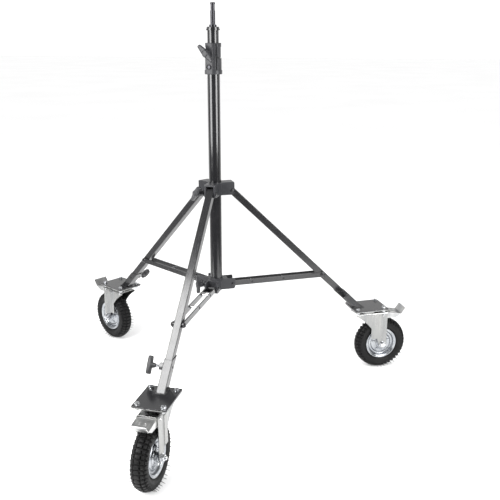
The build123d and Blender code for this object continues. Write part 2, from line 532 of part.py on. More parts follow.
save("outer_tube", outer_tube())
save("tube_foot_plug", tube_foot_plug())
save("riser_tube", riser_tube())
save("riser_bush", riser_bush())
save("riser_cap", riser_cap())
save("stud", stud())
save("clamp_body", clamp_body())
save("clamp_bolt", clamp_bolt())
save("clamp_handle", clamp_handle())
save("upper_collar", upper_collar())
save("upper_handle", collar_handle(UPPER_HANDLE_Z, UPPER_HANDLE_AZIMUTH, 68, 38, -45))
save("lower_collar", lower_collar())
save("lower_handle", collar_handle(LOWER_HANDLE_Z, LOWER_HANDLE_AZIMUTH, 60, 32, 0))
upper_bolt = pivot_bolt(UPPER_CHEEK_OUTER - POCKET_DEPTH, PIVOT_R, PIVOT_Z)
lower_bolt = pivot_bolt(LOWER_CHEEK_OUTER, PIVOT_R, BRACE_PIVOT_Z)
save("leg_pivot_bolts", *[at_leg(upper_bolt, leg) for leg in LEG_AZIMUTHS])
save("brace_pivot_bolts", *[at_leg(lower_bolt, leg) for leg in LEG_AZIMUTHS])

for leg in LEG_AZIMUTHS:
    save(f"leg_tube_{leg}", at_leg(leg_tube(), leg))
    save(f"brace_bars_{leg}", *[at_leg(bar, leg) for bar in brace_bars()])
    save(f"brace_fasteners_{leg}", *[at_leg(piece, leg) for piece in brace_fasteners()])
    save(f"caster_bracket_{leg}", at_leg(caster_bracket(), leg))
    save(f"sleeve_knob_{leg}", at_leg(sleeve_knob(leg), leg))
    save(f"plate_bolts_{leg}", *[at_leg(bolt, leg) for bolt in plate_bolts()])
    save(f"caster_plate_{leg}", at_leg(Pos(PLATE_CENTRE_R, 0, 0) * caster_plate(), leg))
    save(f"swivel_race_{leg}", at_caster(swivel_race(), leg))
    save(f"fork_{leg}", at_caster(fork(), leg))
    save(f"axle_bolt_{leg}", at_caster(axle_bolt(), leg))
    save(f"brake_pedal_{leg}", at_caster(brake_pedal(), leg))
    save(f"wheel_rim_{leg}", at_caster(wheel_rim(), leg))
    save(f"wheel_hub_{leg}", at_caster(wheel_hub(), leg))
    save(f"tyre_{leg}", at_caster(tyre(), leg))

print(len(written), "nodes,", sum(written.values()), "solids")
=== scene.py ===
"""Looks of a wheeled lighting stand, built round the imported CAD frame.

Pieces are drawn in millimetres in a local frame, then placed in metres by that frame's matrix.
"""
import json
import math

import bmesh
import bpy
import numpy as np
from mathutils import Matrix, Vector


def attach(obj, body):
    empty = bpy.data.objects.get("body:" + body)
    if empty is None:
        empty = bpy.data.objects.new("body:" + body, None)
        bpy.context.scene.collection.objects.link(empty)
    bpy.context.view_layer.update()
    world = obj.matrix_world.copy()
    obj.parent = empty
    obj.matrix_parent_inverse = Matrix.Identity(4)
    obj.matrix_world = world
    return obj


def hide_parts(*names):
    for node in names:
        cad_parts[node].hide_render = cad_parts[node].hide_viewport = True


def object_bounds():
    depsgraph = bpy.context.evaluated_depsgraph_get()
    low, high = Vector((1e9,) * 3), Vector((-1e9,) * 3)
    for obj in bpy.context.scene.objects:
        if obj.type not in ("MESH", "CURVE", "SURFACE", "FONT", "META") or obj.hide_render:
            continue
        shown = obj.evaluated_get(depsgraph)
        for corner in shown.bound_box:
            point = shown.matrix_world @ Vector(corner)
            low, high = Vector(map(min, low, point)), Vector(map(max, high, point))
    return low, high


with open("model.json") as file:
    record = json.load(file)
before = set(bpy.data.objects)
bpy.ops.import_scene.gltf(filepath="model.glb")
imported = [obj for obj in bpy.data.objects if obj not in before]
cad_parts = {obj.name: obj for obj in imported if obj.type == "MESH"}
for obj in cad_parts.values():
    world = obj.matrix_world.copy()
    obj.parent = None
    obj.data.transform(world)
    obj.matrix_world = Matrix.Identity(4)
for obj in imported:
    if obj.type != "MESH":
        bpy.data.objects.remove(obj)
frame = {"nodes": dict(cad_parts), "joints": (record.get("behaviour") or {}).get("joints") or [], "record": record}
CAD_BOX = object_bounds()
JOINTS = {joint["name"]: joint for joint in frame["joints"]}
BODY_OF = {node: body for body, nodes in frame["record"]["behaviour"]["bodies"].items() for node in nodes}
LEGS = ("front", "right", "left")

# Driving dimensions in millimetres
BRACE_PIN_ALONG, RIVET_ALONG = 482.0, (72, 191)
PLATE_TOP = 256.4
SLEEVE_SIZE = 28.0
BOLT_SPACING = (106.0, 79.0)
CASTER_PLATE_BOTTOM = 249.4
KNOB_ALONG, KNOB_CENTRE_Y, KNOB_HALF_LENGTH = 619.0, -59.0, 28.0
KNOB_TURNS = {"front": 11.0, "right": 0.0, "left": -5.0}
FORK_HALF_WIDTH = 34.0
TRAIL, AXLE_HEIGHT = 60.0, 102.0
CROWN_RADIUS, CROWN_CENTRE = 30.3, 71.7
TREAD_PITCHES, TREAD_DEPTH = 42, 5.0
WHISKER_REACH = (98.0, 36.0)  # radius and side of a whisker's tip
PEDAL_HALF_WIDTH, PEDAL_SLOPE = 30.0, ((77, 232), (132, 224))
WASHER_TOP, HEAD_BASE = 1.5, 1.2
BRACE_PIVOT_HALF_GRIP, LEG_PIVOT_HALF_GRIP = 22.0, 17.2

# Local Z turned onto an axle along local Y, or onto a screw along local X
AXLE_TURN = Matrix.Rotation(math.radians(-90), 4, "X")
OUTWARD = Matrix.Rotation(math.radians(90), 4, "Y")


# ---------------------------------------------------------------- materials

def map_range(tree, value, low, high, to_low, to_high):
    """Linear change of a node's output between two levels, held level beyond its limits."""
    node = tree.nodes.new("ShaderNodeMapRange")
    for socket, number in zip(("From Min", "From Max", "To Min", "To Max"), (low, high, to_low, to_high)):
        node.inputs[socket].default_value = number
    tree.links.new(value, node.inputs["Value"])
    return node.outputs["Result"]


class Surface:
    """A material's node tree, with short calls for the nodes it is made of."""

    def __init__(self, name):
        self.material = bpy.data.materials.new(name)
        self.material.use_nodes = True
        self.tree = self.material.node_tree
        self.bsdf = self.tree.nodes["Principled BSDF"]
        self.place = self.node("ShaderNodeTexCoord").outputs["Object"]

    def node(self, kind, **settings):
        made = self.tree.nodes.new(kind)
        for key, value in settings.items():
            setattr(made, key, value)
        return made

    def link(self, output, socket):
        self.tree.links.new(output, socket)

    def noise(self, scale, detail=4.0, stretch=(1, 1, 1)):
        mapping = self.node("ShaderNodeMapping")
        mapping.inputs["Scale"].default_value = stretch
        self.link(self.place, mapping.inputs["Vector"])
        noise = self.node("ShaderNodeTexNoise")
        noise.inputs["Scale"].default_value = scale
        noise.inputs["Detail"].default_value = detail
        self.link(mapping.outputs["Vector"], noise.inputs["Vector"])
        return noise.outputs["Fac"]

    def remap(self, value, low, high, to_low, to_high):
        return map_range(self.tree, value, low, high, to_low, to_high)

    def blend(self, factor, first, second):
        """Colour between two colours, each a tuple or the output of a node."""
        mix = self.node("ShaderNodeMix", data_type="RGBA")
        self.link(factor, mix.inputs["Factor"])
        for socket, colour in ((mix.inputs[6], first), (mix.inputs[7], second)):
            if isinstance(colour, tuple):
                socket.default_value = (*colour, 1)
            else:
                self.link(colour, socket)
        return mix.outputs[2]

    def edges(self, radius, reach):
        """Mask that is 1 on edges and inside corners and 0 on flat faces."""
        rounded = self.node("ShaderNodeBevel", samples=4)
        rounded.inputs["Radius"].default_value = radius
        geometry = self.node("ShaderNodeNewGeometry")
        dot = self.node("ShaderNodeVectorMath", operation="DOT_PRODUCT")
        self.link(rounded.outputs["Normal"], dot.inputs[0])
        self.link(geometry.outputs["True Normal"], dot.inputs[1])
        return self.remap(dot.outputs["Value"], 1.0, 1.0 - reach, 0.0, 1.0)

    def bump(self, height, strength, distance=0.0004):
        bump = self.node("ShaderNodeBump")
        bump.inputs["Strength"].default_value = strength
        bump.inputs["Distance"].default_value = distance
        self.link(height, bump.inputs["Height"])
        self.link(bump.outputs["Normal"], self.bsdf.inputs["Normal"])


def coated(name, colour, tint, roughness, grain, strength, coat=0.0, specular=0.5):
    """Paint or plastic: blotched colour, uneven gloss, fine grain and rubbed edges."""
    surface = Surface(name)
    blotch = surface.noise(9.0, 3.0)
    body = surface.blend(surface.remap(blotch, 0.35, 0.65, 0.0, 1.0), colour, tint)
    rubbed = tuple(min(1.0, c * 2.2 + 0.012) for c in colour)
    scuffs = surface.noise(260.0, 5.0)
    wear = surface.node("ShaderNodeMath", operation="MULTIPLY")
    surface.link(surface.edges(0.0009, 0.22), wear.inputs[0])
    surface.link(surface.remap(scuffs, 0.5, 0.62, 0.0, 0.8), wear.inputs[1])
    surface.link(surface.blend(wear.outputs[0], body, rubbed), surface.bsdf.inputs["Base Color"])
    gloss = surface.remap(surface.noise(38.0, 5.0), 0.3, 0.7, roughness - 0.035, roughness + 0.05)
    surface.link(gloss, surface.bsdf.inputs["Roughness"])
    surface.bsdf.inputs["Specular IOR Level"].default_value = specular
    surface.bsdf.inputs["Coat Weight"].default_value = coat
    surface.bsdf.inputs["Coat Roughness"].default_value = 0.12
    surface.bump(surface.noise(grain, 2.0), strength)
    return surface.material


def plated(name, colour, tint, roughness, streak, strength):
    """Plated metal: cloudy colour, drawn streaks in its gloss and dull spots."""
    surface = Surface(name)
    surface.bsdf.inputs["Metallic"].default_value = 1.0
    cloud = surface.noise(34.0, 5.0, stretch=streak)
    body = surface.blend(surface.remap(cloud, 0.35, 0.68, 0.0, 1.0), colour, tint)
    spots = surface.remap(surface.noise(520.0, 3.0), 0.6, 0.72, 0.0, 0.35)
    dull = tuple(c * 0.62 for c in colour)
    surface.link(surface.blend(spots, body, dull), surface.bsdf.inputs["Base Color"])
    drawn = surface.noise(60.0, 4.0, stretch=streak)
    gloss = surface.remap(drawn, 0.3, 0.7, roughness - 0.07, roughness + 0.09)
    surface.link(gloss, surface.bsdf.inputs["Roughness"])
    surface.bump(surface.noise(240.0, 4.0, stretch=streak), strength, 0.0002)
    return surface.material


def rubber(name, colour, dust):
    """Tyre rubber: patches of dust, uneven gloss and pitted grain."""
    surface = Surface(name)
    dusting = surface.remap(surface.noise(46.0, 6.0), 0.45, 0.72, 0.0, 0.6)
    surface.link(surface.blend(dusting, colour, dust), surface.bsdf.inputs["Base Color"])
    gloss = surface.remap(surface.noise(120.0, 4.0), 0.3, 0.7, 0.42, 0.62)
    surface.link(gloss, surface.bsdf.inputs["Roughness"])
    surface.bsdf.inputs["Specular IOR Level"].default_value = 0.22
    surface.bump(surface.noise(1500.0, 3.0), 0.22, 0.0003)
    return surface.material


def floor_paper(name):
    """Matt pale paper with a faint unevenness."""
    surface = Surface(name)
    shade = surface.remap(surface.noise(0.7, 2.0), 0.3, 0.7, 0.0, 1.0)
    colour = surface.blend(shade, (0.90, 0.90, 0.90), (0.93, 0.93, 0.93))
    surface.link(colour, surface.bsdf.inputs["Base Color"])
    surface.bsdf.inputs["Roughness"].default_value = 0.9
    surface.bump(surface.noise(500.0, 2.0), 0.03)
    return surface.material


RECIPES = {
    "column_paint": (coated, (0.004, 0.004, 0.005), (0.007, 0.007, 0.008), 0.14, 1400.0, 0.002, 0.6),
    "leg_paint": (coated, (0.008, 0.008, 0.009), (0.012, 0.012, 0.013), 0.2, 1400.0, 0.006, 0.5),
    "cast_grey": (coated, (0.021, 0.0215, 0.024), (0.031, 0.031, 0.034), 0.32, 1100.0, 0.16, 0.05, 0.28),
    "black_plastic": (coated, (0.012, 0.012, 0.012), (0.018, 0.018, 0.018), 0.45, 1600.0, 0.15),
    "knob_plastic": (coated, (0.022, 0.022, 0.024), (0.03, 0.03, 0.032), 0.42, 1500.0, 0.15),
    "black_zinc": (coated, (0.008, 0.008, 0.009), (0.014, 0.014, 0.016), 0.25, 1900.0, 0.05, 0.3),
    "zinc": (plated, (0.66, 0.67, 0.68), (0.52, 0.53, 0.56), 0.22, (1, 1, 1), 0.08),
    "zinc_sheet": (plated, (0.37, 0.37, 0.36), (0.24, 0.245, 0.25), 0.27, (1, 1, 0.12), 0.12),
    "rim_zinc": (plated, (0.44, 0.455, 0.47), (0.30, 0.315, 0.34), 0.24, (1, 1, 1), 0.08),
    # Pedal zinc is the same pressed zinc as zinc_sheet in a lighter colour: painted light for the light the
    # upturned pedal catches from above
    "pedal_zinc_painted_light": (plated, (0.58, 0.58, 0.57), (0.40, 0.405, 0.41), 0.36, (1, 1, 1), 0.14),
    "stud_steel": (plated, (0.055, 0.055, 0.06), (0.04, 0.04, 0.044), 0.2, (1, 1, 0.2), 0.02),
    "tyre_rubber": (rubber, (0.004, 0.004, 0.0043), (0.010, 0.0098, 0.0093)),
}
MATERIALS = {name: make(name, *values) for name, (make, *values) in RECIPES.items()}


# ---------------------------------------------------------------- frames and mesh helpers

def axes(origin, x, y):
    """Matrix of a frame drawn in millimetres, from its origin in metres and two of its axes."""
    x, y = Vector(x).normalized(), Vector(y).normalized()
    turn = Matrix((x, y, x.cross(y))).transposed().to_4x4()
    return Matrix.Translation(origin) @ turn @ Matrix.Scale(0.001, 4)


def leg_frame(leg):
    """Origin on the leg's hinge, +X down the leg, +Y along the hinge pin."""
    hinge = JOINTS[f"leg_fold_{leg}"]
    return axes(hinge["pos_m"], JOINTS[f"bracket_slide_{leg}"]["axis"], hinge["axis"])


def brace_frame(leg):
    """Origin on the brace's lower hinge, +X along the bars, +Y along the hinge pin."""
    hinge = JOINTS[f"brace_fold_{leg}"]
    low, high = (Vector(JOINTS[f"{part}_fold_{leg}"]["pos_m"]) for part in ("brace", "leg"))
    pin = high + Vector(JOINTS[f"bracket_slide_{leg}"]["axis"]) * BRACE_PIN_ALONG / 1000
    return axes(low, pin - low, -Vector(hinge["axis"])), (pin - low).length * 1000


def caster_frame(leg):
    """Origin on the swivel axis at the ground, +X towards the wheel, +Y along the axle."""
    x, y, _ = JOINTS[f"caster_swivel_{leg}"]["pos_m"]
    axle = Vector(JOINTS[f"wheel_spin_{leg}"]["axis"])
    return axes((x, y, 0), axle.cross(Vector((0, 0, 1))), axle)


def wheel_frame(leg):
    """Origin at the wheel's centre, +Y along the axle."""
    spin = JOINTS[f"wheel_spin_{leg}"]
    axle = Vector(spin["axis"])
    return axes(spin["pos_m"], axle.cross(Vector((0, 0, 1))), axle)


def plate_frame(leg):
    """Origin on the swivel axis at the ground, +X away from the column."""
    x, y, _ = JOINTS[f"caster_swivel_{leg}"]["pos_m"]
    return axes((x, y, 0), (x, y, 0), JOINTS[f"leg_fold_{leg}"]["axis"])


def lever_frame(joint, turn):
    """Origin on the column's axis, +X along the lever's screw, turned about it by some degrees."""
    lever = JOINTS[joint]
    x = Vector(lever["axis"])
    y = Vector((0, 0, 1)).cross(x)
    return axes(lever["pos_m"], x, y) @ Matrix.Rotation(math.radians(turn), 4, "X")


def skin(bm, rings, place=Matrix.Identity(4), loop=False):
    """Faces over successive rings of points; the ends are capped unless the rings close in a loop."""
    rows = [[bm.verts.new(place @ Vector(point)) for point in ring] for ring in rings]
    pairs = list(zip(rows, rows[1:])) + ([(rows[-1], rows[0])] if loop else [])
    for first, second in pairs:
        count = len(first)
        for i in range(count):
            j = (i + 1) % count
            bm.faces.new((first[i], first[j], second[j], second[i]))
    if not loop:
        bm.faces.new(list(reversed(rows[0])))
        bm.faces.new(rows[-1])


def circle(radius, height, count=48):
    """Ring of points round Z."""
    turns = (2 * math.pi * i / count for i in range(count))
    return [(radius * math.cos(a), radius * math.sin(a), height) for a in turns]


def hexagon(flats, height, corner=1.0, count=48):
    """Hexagonal ring; corner below 1 trims its points towards the inscribed circle."""
    ring = []
    for i in range(count):
        turn = 2 * math.pi * i / count
        away = (turn + math.pi / 6) % (math.pi / 3) - math.pi / 6
        radius = min(flats / 2 / math.cos(away), flats / 2 * (1 + 0.1547 * corner))
        ring.append((radius * math.cos(turn), radius * math.sin(turn), height))
    return ring


def lathe(bm, profile, place=Matrix.Identity(4), count=72, loop=False):
    """Turn a profile of (radius, height) points about Z."""
    skin(bm, [circle(radius, height, count) for radius, height in profile], place, loop)


def smooth_profile(points, steps=5):
    """Catmull-Rom points through a closed profile, so that pressed metal has no hard corners."""
    result, count = [], len(points)
    for i in range(count):
        p0, p1, p2, p3 = (np.array(points[(i + k) % count]) for k in (-1, 0, 1, 2))
        for t in np.arange(steps) / steps:
            result.append(tuple(0.5 * (
                2 * p1 + (p2 - p0) * t + (2 * p0 - 5 * p1 + 4 * p2 - p3) * t ** 2
                + (3 * p1 - p0 - 3 * p2 + p3) * t ** 3
            )))
    return result


def facing(origin, direction):
    """Matrix whose Z points along a direction, at an origin, within a local frame."""
    turn = Vector(direction).to_track_quat("Z", "Y").to_matrix().to_4x4()
    return Matrix.Translation(origin) @ turn


def washer(bm, place, radius):
    """Washer with broken edges, lying on the local XY plane."""
    profile = [(radius - 0.3, 0), (radius, 0.3), (radius, HEAD_BASE), (radius - 0.4, WASHER_TOP)]
    lathe(bm, profile, place, 48)


def hex_rings(flats, height, shoulder):
    """Hexagon over a washer, chamfered to a circle from some share of its height."""
    return [
        hexagon(flats, WASHER_TOP, 0.9), hexagon(flats, HEAD_BASE + height * shoulder, 0.9),
        hexagon(flats * 0.985, HEAD_BASE + height * 0.93, 0.1), hexagon(flats * 0.86, HEAD_BASE + height, 0.0),
    ]


def bolt_head(bm, place, flats, height, washer_radius, dome=0.0):
    """Hex head on a washer; dome gives the round top's height."""
    washer(bm, place, washer_radius)
    rings = hex_rings(flats, height, 0.75)
    if dome:
        top = HEAD_BASE + height
        rings += [circle(flats * 0.3, top + dome * 0.7), circle(flats * 0.12, top + dome)]
    skin(bm, rings, place)


def nut(bm, place, flats, height, washer_radius, thread, tip):
    """Hex nut on a washer with the bolt's threaded end standing out of it."""
    washer(bm, place, washer_radius)
    skin(bm, hex_rings(flats, height, 0.8), place)
    turns = int(tip / 0.8)
    profile = [(thread, height)]
    for i in range(turns):
        base = height + HEAD_BASE + tip * i / turns
        profile += [(thread, base), (thread * 0.9, base + 0.35)]
    profile += [(thread * 0.8, height + HEAD_BASE + tip)]
    lathe(bm, profile, place, 32)


def mesh_from(name, bm):
    """Mesh data from a bmesh, which it frees."""
    mesh = bpy.data.meshes.new(name)
    bm.to_mesh(mesh)
    bm.free()
    return mesh


def linked(name, data):
    """New object with its data, in the scene's collection."""
    made = bpy.data.objects.new(name, data)
    bpy.context.scene.collection.objects.link(made)
    return made


def placed(bm, place):
    """Move a bmesh from its local frame to the scene and turn its faces outward."""
    bmesh.ops.transform(bm, matrix=place, verts=bm.verts)
    bmesh.ops.recalc_face_normals(bm, faces=bm.faces)
    return bm


def piece(name, bm, place, body, slot, replaced=(), smooth=40.0, bevel=0.0):
    """A bmesh drawn in a local frame becomes a piece that rides on a CAD body."""
    return adopt(name, mesh_from(name, placed(bm, place)), body, slot, replaced, smooth, bevel)


def paint(mesh, look):
    """Give a mesh one material only."""
    mesh.materials.clear()
    mesh.materials.append(MATERIALS[look])


def adopt(name, mesh, body, slot, replaced=(), smooth=40.0, bevel=0.0):
    """Link a mesh in metres as a piece with its material, body and smooth shading."""
    made = linked(name, mesh)
    paint(mesh, slot)
    mesh.shade_smooth()
    mesh.set_sharp_from_angle(angle=math.radians(smooth))
    if bevel:
        rounding = made.modifiers.new("edges", "BEVEL")
        rounding.width, rounding.segments = bevel / 1000, 2
        rounding.limit_method, rounding.angle_limit = "ANGLE", math.radians(38)
        flatten = made.modifiers.new("flats", "WEIGHTED_NORMAL")
        flatten.keep_sharp, flatten.weight = True, 100
    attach(made, body)
    if replaced:
        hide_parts(*replaced)
    return made


def cad_copy(node):
    """Bmesh of a CAD node in metres, welded."""
    bm = bmesh.new()
    bm.from_mesh(frame["nodes"][node].data)
    bmesh.ops.remove_doubles(bm, verts=bm.verts, dist=2e-6)
    return bm


def eased(node, slot, bevel):
    """Stand-in for a CAD node with its sharp edges rounded."""
    bm = cad_copy(node)
    bmesh.ops.dissolve_limit(bm, angle_limit=math.radians(0.8), verts=bm.verts, edges=bm.edges)
    return piece(f"{node}_eased", bm, Matrix.Identity(4), BODY_OF[node], slot, (node,), 32.0, bevel)


def cast(node, slot, voxel, passes):
    """Stand-in for a CAD node as a casting: remeshed, so that every edge and inside corner is rounded."""
    return remeshed(node, cad_copy(node), slot, voxel, passes)


def remeshed(node, bm, slot, voxel, passes):
    """Voxel remesh of a bmesh in metres, smoothed a few times, that replaces a CAD node."""
    blank = linked(f"{node}_blank", mesh_from(f"{node}_blank", bm))
    grid = blank.modifiers.new("grid", "REMESH")
    grid.mode, grid.voxel_size, grid.use_smooth_shade = "VOXEL", voxel / 1000, True
    ease = blank.modifiers.new("ease", "SMOOTH")
    ease.factor, ease.iterations = 0.5, passes
    depsgraph = bpy.context.evaluated_depsgraph_get()
    result = bpy.data.meshes.new_from_object(blank.evaluated_get(depsgraph))
    bpy.data.objects.remove(blank)
    return adopt(f"{node}_cast", result, BODY_OF[node], slot, (node,), 180.0)


# ---------------------------------------------------------------- wheels

def softly(value, low, high, edge):
    """1 between two limits, falling smoothly to 0 over a short edge."""
    rise = np.clip((value - low) / edge + 0.5, 0, 1)
    fall = np.clip((high - value) / edge + 0.5, 0, 1)
    step = np.minimum(rise, fall)
    return step * step * (3 - 2 * step)


def tyre_section():
    """Half section from the crown to the bead: radius, side, outward normal and arc length."""
    half_crown = math.asin(22.5 / CROWN_RADIUS)
    rows = []
    for turn in np.linspace(0, half_crown, 30):
        rows.append((CROWN_CENTRE + CROWN_RADIUS * math.cos(turn), CROWN_RADIUS * math.sin(turn)))
    knots = [(92, 22.5), (85, 25.4), (76, 26.0), (69, 23.9), (64, 20.2), (61.2, 17.2)]
    for (r0, y0), (r1, y1) in zip(knots, knots[1:]):
        for t in (0.25, 0.5, 0.75, 1.0):
            rows.append((r0 + (r1 - r0) * t, y0 + (y1 - y0) * t))
    return np.array(rows)


def tyre(leg):
    """Tyre with three columns of tread blocks, shoulder lugs, a ribbed sidewall and moulding whiskers."""
    half = tyre_section()
    section = np.vstack([half[::-1] * (1, -1), half[1:]])
    steps = np.gradient(section, axis=0)
    normal = np.stack([steps[:, 1], -steps[:, 0]], axis=1)
    normal /= np.linalg.norm(normal, axis=1)[:, None]
    lengths = np.concatenate([[0], np.cumsum(np.linalg.norm(np.diff(section, axis=0), axis=1))])
    across = np.abs(lengths - lengths[len(lengths) // 2])
    count = TREAD_PITCHES * 16
    turn = np.arange(count) * 2 * math.pi / count
    pitch = (turn * TREAD_PITCHES / (2 * math.pi))[:, None]
    bow = 0.10 * np.clip((across / 9.5) ** 2, 0, 1)
    centre = softly(across, -12, 8.6, 1.8) * softly((pitch + bow) % 1, 0.13, 0.87, 0.18)
    flank_bow = 0.10 * np.clip(((across - 17) / 7) ** 2, 0, 1)
    flank = softly(across, 11.2, 22.4, 1.8) * softly((pitch + 0.06 + flank_bow) % 1, 0.13, 0.87, 0.18)
    lugs = softly(across, 23.6, 31.2, 1.8) * softly((pitch + 0.12) % 1, 0.16, 0.84, 0.18)
    ribs = softly(across, 32.0, 41.5, 2.0) * softly((pitch * 3) % 1, 0.2, 0.8, 0.4) * 0.6
    rings = softly(across, 43.4, 45.2, 1.2) * 0.3 + softly(across, 48.6, 50.0, 1.2) * 0.25
    cover = softly(across, -40, 31.5, 4.0)
    height = np.maximum.reduce([centre, flank, lugs]) * TREAD_DEPTH - cover * TREAD_DEPTH
    height = height + ribs + rings - 0.5 * softly(across, 32.0, 60.0, 2.0)
    radius = section[:, 0] + normal[:, 0] * height
    y = section[:, 1] + normal[:, 1] * height
    points = np.stack([radius * np.cos(turn)[:, None], y, radius * np.sin(turn)[:, None]], axis=2)
    bm = bmesh.new()
    skin(bm, [[tuple(point) for point in row] for row in sealed(points)], loop=True)
    for sign in (-1, 1):
        for i in range(TREAD_PITCHES):
            spot = (i + 0.5 + 0.06 * math.sin(i * 2.3)) * 2 * math.pi / TREAD_PITCHES
            radius, side = WHISKER_REACH
            tip = wheel_frame(leg) @ Vector((radius * math.cos(spot), side * sign, radius * math.sin(spot)))
            if all(low <= value <= high for low, value, high in zip(CAD_BOX[0], tip, CAD_BOX[1])):
                whisker(bm, spot, sign, i)
    return piece(f"tyre_{leg}_tread", bm, wheel_frame(leg), BODY_OF[f"tyre_{leg}"], "tyre_rubber",
                 (f"tyre_{leg}",), 60.0)


def sealed(points):
    """Close each radial slice with an inner wall behind the rim's flanges."""
    for row in points:
        first, last = row[0], row[-1]
        scale = 57.4 / np.hypot(first[0], first[2])
        yield np.vstack([row, last * (scale, 0.9, scale), first * (scale, 0.9, scale)])


def whisker(bm, turn, sign, index):
    """Thin leaning hair of rubber that moulding leaves on the shoulder."""
    length = 11.6 + 1.8 * math.sin(index * 1.7 + sign)
    lean = 0.25 * math.sin(index * 3.1 + 2 * sign)
    root = Vector((91.2 * math.cos(turn), sign * 22.6, 91.2 * math.sin(turn)))
    outward = Vector((0.42 * math.cos(turn + lean), sign, 0.42 * math.sin(turn + lean))).normalized()
    taper = ((0.9, -1.5), (0.8, length * 0.5), (0.4, length))
    skin(bm, [circle(radius, height, 5) for radius, height in taper], facing(root, outward))


def rim(leg):
    """Two pressed dishes with rolled flanges, a ring of small bolts and a valve."""
    outside = [
        (60.2, 17.5), (61.3, 18.9), (60.9, 20.7), (59.2, 21.1), (57.2, 20.4), (54.0, 19.0), (51.6, 17.4),
        (50.0, 13.5), (48.2, 10.7), (45.5, 9.6), (41.5, 10.2), (39.2, 12.6), (36.8, 14.6), (31.0, 15.2),
        (26.0, 15.4), (23.6, 17.0), (20.8, 17.2),
    ]
    inside = [(20.8, 14.4), (29, 12.6), (37, 11.4), (41, 7.2), (46, 6.8), (50.4, 7.4), (52.6, 12), (55, 16)]
    bm = bmesh.new()
    for sign in (-1, 1):
        profile = smooth_profile([(rho, y * sign) for rho, y in outside + inside], 4)
        lathe(bm, profile, AXLE_TURN, 96, loop=True)
        for i in range(5):
            turn = 2 * math.pi * (i + 0.3) / 5
            seat = Vector((31 * math.cos(turn), sign * 14.8, 31 * math.sin(turn)))
            bolt_head(bm, facing(seat, (0, sign, 0)), 8, 3.4, 6)
    barrel = [(52.4, -7), (52.4, 7), (49.4, 7), (49.4, -7)]
    lathe(bm, barrel, AXLE_TURN, 96, loop=True)
    valve = Vector((0.906 * 45, 9.5, 0.423 * 45))
    stem = [(3.6, -2), (3.6, 1.5), (2.6, 2.5), (2.6, 8.5), (3.3, 9.0), (3.3, 13.5), (2.2, 14.5)]
    lathe(bm, stem, facing(valve, (-0.35, 1, -0.16)), 24)
    return piece(f"wheel_rim_{leg}_pressed", bm, wheel_frame(leg), BODY_OF[f"wheel_rim_{leg}"], "rim_zinc",
                 (f"wheel_rim_{leg}",), 44.0)


def hub(leg):
    """Turned hub with a stepped nose on each side and a grease nipple."""
    bm = bmesh.new()
    for sign in (-1, 1):
        steps = [
            (20.5, 0), (20.5, 16.6), (19.6, 18.0), (15.4, 18.6), (14.0, 20.0), (14.0, 24.8), (12.8, 26.4),
            (9.4, 26.4), (8.6, 25.4), (6.2, 25.4), (6.2, 0),
        ]
        lathe(bm, [(rho, sign * y) for rho, y in steps], AXLE_TURN, 64, loop=True)
    nipple = [(2.4, -2), (2.4, 1.5), (1.6, 2.2), (1.6, 3.8), (2.0, 4.3), (1.2, 5.4)]
    lathe(bm, nipple, facing((14.0, 21.9, 0), (1, 0, 0)), 20)
    return piece(f"wheel_hub_{leg}_turned", bm, wheel_frame(leg), BODY_OF[f"wheel_hub_{leg}"], "rim_zinc",
                 (f"wheel_hub_{leg}",), 35.0)


def axle(leg):
    """Axle bolt: hex head, nut with thread, and the two spacers inside the fork."""
    bm = bmesh.new()
    centre = Vector((TRAIL, 0, AXLE_HEIGHT))
    foot = facing(centre + Vector((0, FORK_HALF_WIDTH, 0)), (0, 1, 0))
    head = facing(centre - Vector((0, FORK_HALF_WIDTH, 0)), (0, -1, 0))
    bolt_head(bm, head, 19, 7.5, 12.6)
    nut(bm, foot, 19, 9, 12.6, 5.8, 5.4)
    lathe(bm, [(5.9, -35), (5.9, 35)], Matrix.Translation(centre) @ AXLE_TURN, 32)
    for sign in (-1, 1):
        spacer = [(6, 27.5), (9.6, 27.5), (10, 28), (10, 30.6), (9.6, 31), (6, 31)]
        lathe(bm, [(rho, sign * y) for rho, y in spacer], Matrix.Translation(centre) @ AXLE_TURN, 48, loop=True)
    return piece(f"axle_bolt_{leg}_set", bm, caster_frame(leg), BODY_OF[f"axle_bolt_{leg}"], "zinc",
                 (f"axle_bolt_{leg}",), 30.0)


for leg in LEGS:
    tyre(leg)
    rim(leg)
    hub(leg)
    axle(leg)


# ---------------------------------------------------------------- casters and brackets

def plate_bolts(leg):
    """Four domed bolts with washers over the plates and their nuts below."""
    bm = bmesh.new()
    for x in (-BOLT_SPACING[0] / 2, BOLT_SPACING[0] / 2):
        for y in (-BOLT_SPACING[1] / 2, BOLT_SPACING[1] / 2):
            spin = Matrix.Rotation(0.4 * x + y, 4, "Z")
            bolt_head(bm, Matrix.Translation((x, y, PLATE_TOP)) @ spin, 14, 5.2, 8.4, 1.0)
            under = facing((x, y, CASTER_PLATE_BOTTOM), (0, 0, -1))
            nut(bm, under @ spin, 14, 6.5, 8.4, 4.0, 2.2)
            lathe(bm, [(3.9, CASTER_PLATE_BOTTOM - 2), (3.9, PLATE_TOP + 2)], Matrix.Translation((x, y, 0)), 24)
    return piece(f"plate_bolts_{leg}_set", bm, plate_frame(leg), BODY_OF[f"plate_bolts_{leg}"], "zinc",
                 (f"plate_bolts_{leg}",), 30.0)


